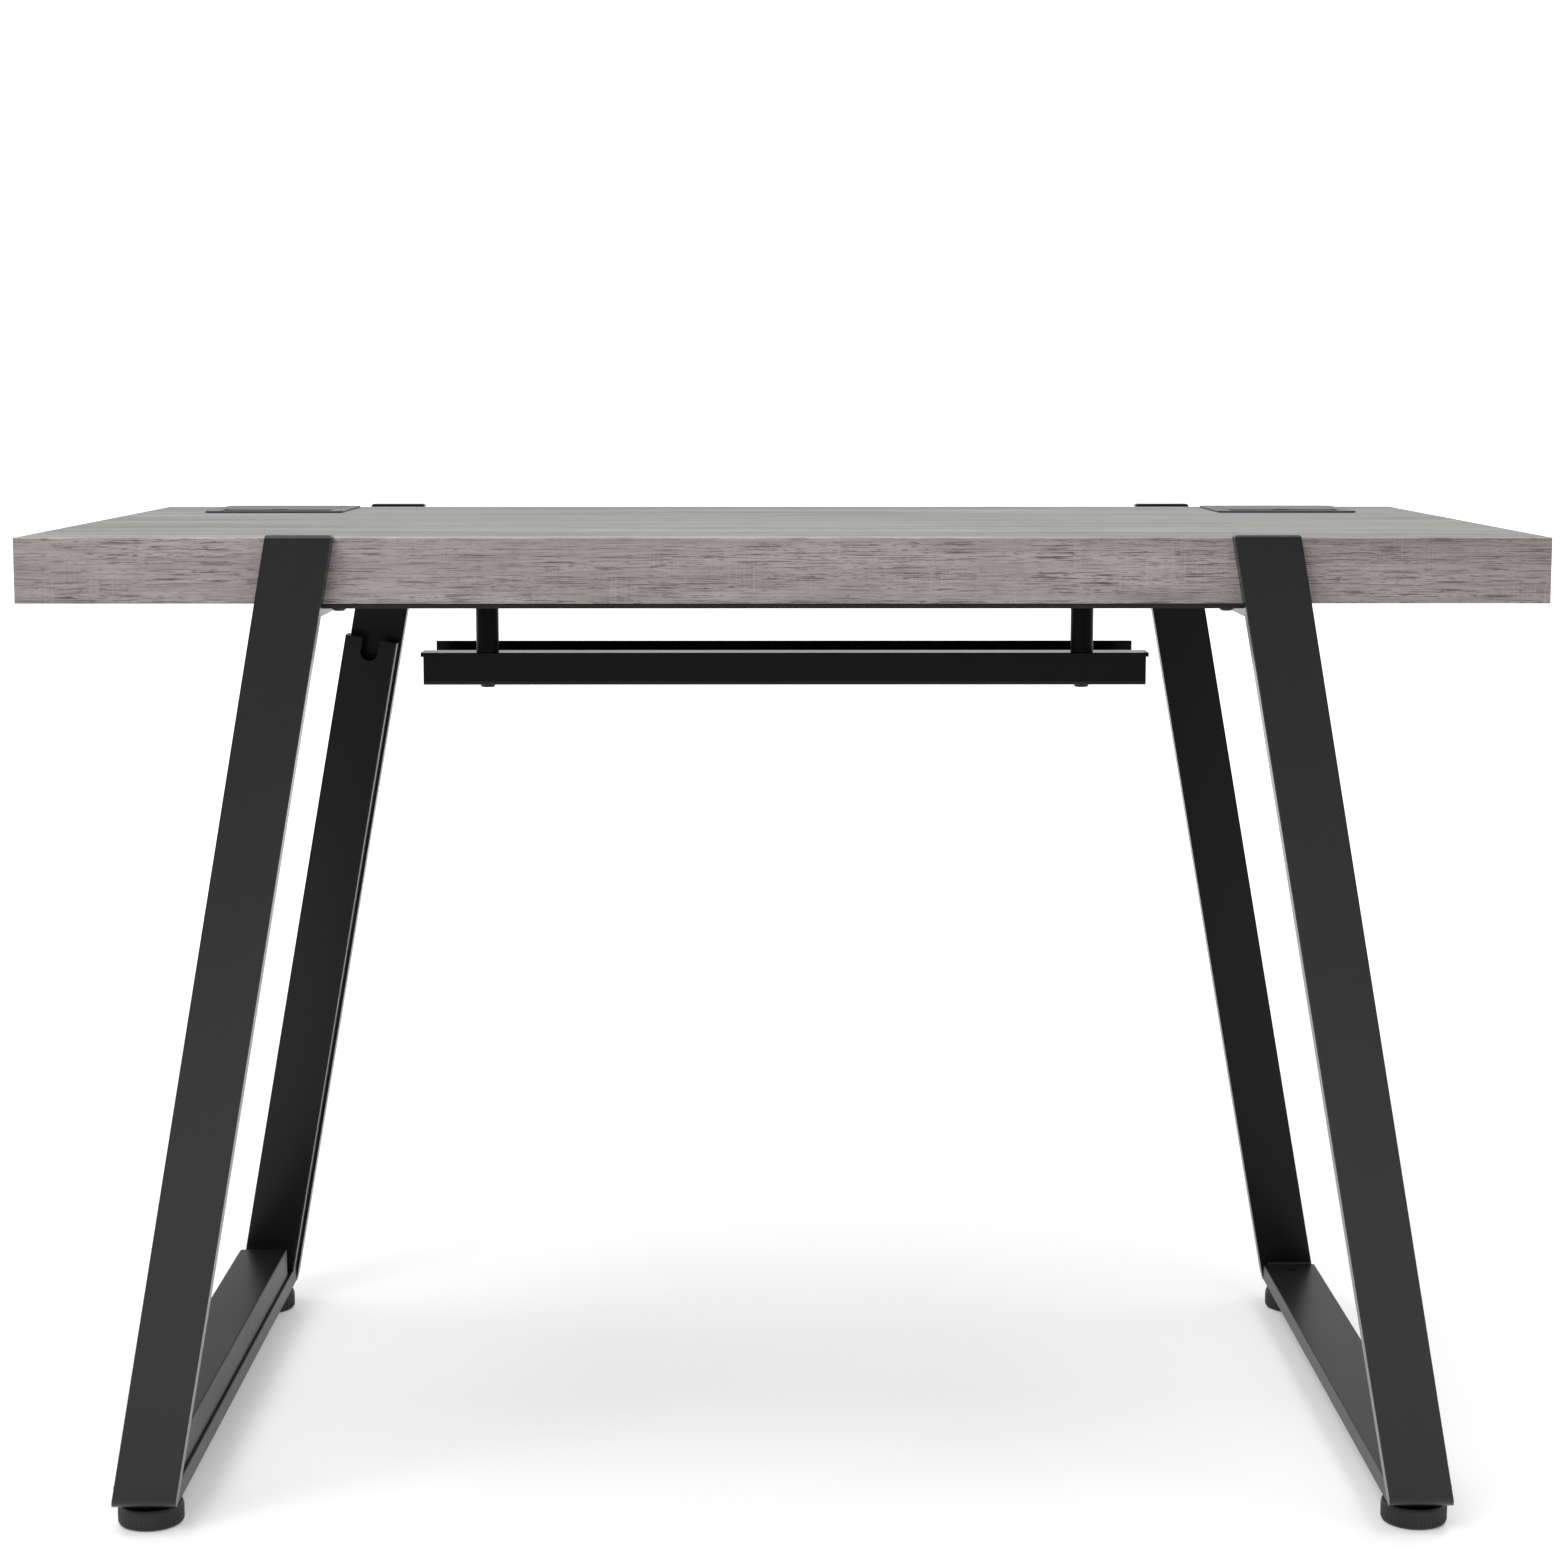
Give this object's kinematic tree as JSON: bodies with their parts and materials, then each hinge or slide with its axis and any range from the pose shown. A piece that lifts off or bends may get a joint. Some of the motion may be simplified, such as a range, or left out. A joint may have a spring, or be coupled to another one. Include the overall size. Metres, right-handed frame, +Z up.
{
  "type": "computer desk with cable tray",
  "caption": "Desk with a thick grey oak laminated top on two splayed flat-bar end frames, a hung cable tray, hinged cable ports and clip-on cable covers.",
  "frame": {"origin": "on the floor under the middle of the desk", "axes": "+X along the desk's length, -Y towards the person sitting, +Z up"},
  "size_m": [1.12, 0.63, 0.7524],
  "materials": {
    "laminate_top": "satin grey oak laminate",
    "laminate_edge": "satin grey oak edge band with saw marks",
    "core_board": "raw particle board",
    "backer_black": "matt",
    "pad_plastic": "matt",
    "zinc_steel": "zinc plated",
    "black_steel_fastener": "black oxide",
    "spring_steel": "satin",
    "brush_nylon": "matt",
    "port_metal": "satin powder coat",
    "cover_plastic": "satin",
    "black_powder_coat": "satin powder coat"
  },
  "bodies": {
    "desk": {"blade_front_left": "black_powder_coat", "blade_front_right": "black_powder_coat", "blade_rear_left": "black_powder_coat", "blade_rear_right": "black_powder_coat", "clip_screws": "zinc_steel", "crossbar_bolts": "black_steel_fastener", "crossbar_left": "black_powder_coat", "crossbar_right": "black_powder_coat", "edge_band_front": "laminate_edge", "edge_band_left": "laminate_edge", "edge_band_rear": "laminate_edge", "edge_band_right": "laminate_edge", "glide_bosses": "zinc_steel", "leg_cover_clips": "spring_steel", "port_brush_left": "brush_nylon", "port_brush_right": "brush_nylon", "port_frame_left": "port_metal", "port_frame_right": "port_metal", "port_pin_left": "zinc_steel", "port_pin_right": "zinc_steel", "rail_bolts": "black_steel_fastener", "rail_front": "black_powder_coat", "rail_rear": "black_powder_coat", "runner_cover_clips": "spring_steel", "runner_left": "black_powder_coat", "runner_right": "black_powder_coat", "threaded_inserts": "zinc_steel", "top_backer": "backer_black", "top_core": "core_board", "top_laminate": "laminate_top", "tray_bolts": "black_steel_fastener", "tray_lip": "black_powder_coat", "tray_posts": "black_powder_coat", "tray_spacers": "spring_steel", "tray_trough": "black_powder_coat"},
    "glide_front_left": {"glide_pad_front_left": "pad_plastic", "glide_stem_front_left": "zinc_steel"},
    "glide_front_right": {"glide_pad_front_right": "pad_plastic", "glide_stem_front_right": "zinc_steel"},
    "glide_rear_left": {"glide_pad_rear_left": "pad_plastic", "glide_stem_rear_left": "zinc_steel"},
    "glide_rear_right": {"glide_pad_rear_right": "pad_plastic", "glide_stem_rear_right": "zinc_steel"},
    "port_door_left_body": {"port_door_left": "port_metal"},
    "port_door_right_body": {"port_door_right": "port_metal"},
    "leg_cover_body": {"leg_cover": "cover_plastic"},
    "runner_cover_body": {"runner_cover": "cover_plastic"}
  },
  "joints": [
    {"name": "glide_front_left_level", "type": "slide", "parent": "desk", "child": "glide_front_left", "axis": [0, 0, -1], "range_m": [0, 0.012]},
    {"name": "glide_front_right_level", "type": "slide", "parent": "desk", "child": "glide_front_right", "axis": [0, 0, -1], "range_m": [0, 0.012]},
    {"name": "glide_rear_left_level", "type": "slide", "parent": "desk", "child": "glide_rear_left", "axis": [0, 0, -1], "range_m": [0, 0.012]},
    {"name": "glide_rear_right_level", "type": "slide", "parent": "desk", "child": "glide_rear_right", "axis": [0, 0, -1], "range_m": [0, 0.012]},
    {"name": "port_door_left_hinge", "type": "hinge", "parent": "desk", "child": "port_door_left_body", "pos_m": [-0.442, 0.2657, 0.7484], "axis": [-1, 0, 0], "range_deg": [0, 95]},
    {"name": "port_door_right_hinge", "type": "hinge", "parent": "desk", "child": "port_door_right_body", "pos_m": [0.442, 0.2657, 0.7484], "axis": [-1, 0, 0], "range_deg": [0, 95]},
    {"name": "leg_cover_pull", "type": "slide", "parent": "desk", "child": "leg_cover_body", "axis": [0, -1, 0], "range_m": [0, 0.016]},
    {"name": "runner_cover_lift", "type": "slide", "parent": "desk", "child": "runner_cover_body", "axis": [0, 0, 1], "range_m": [0, 0.035]}
  ]
}
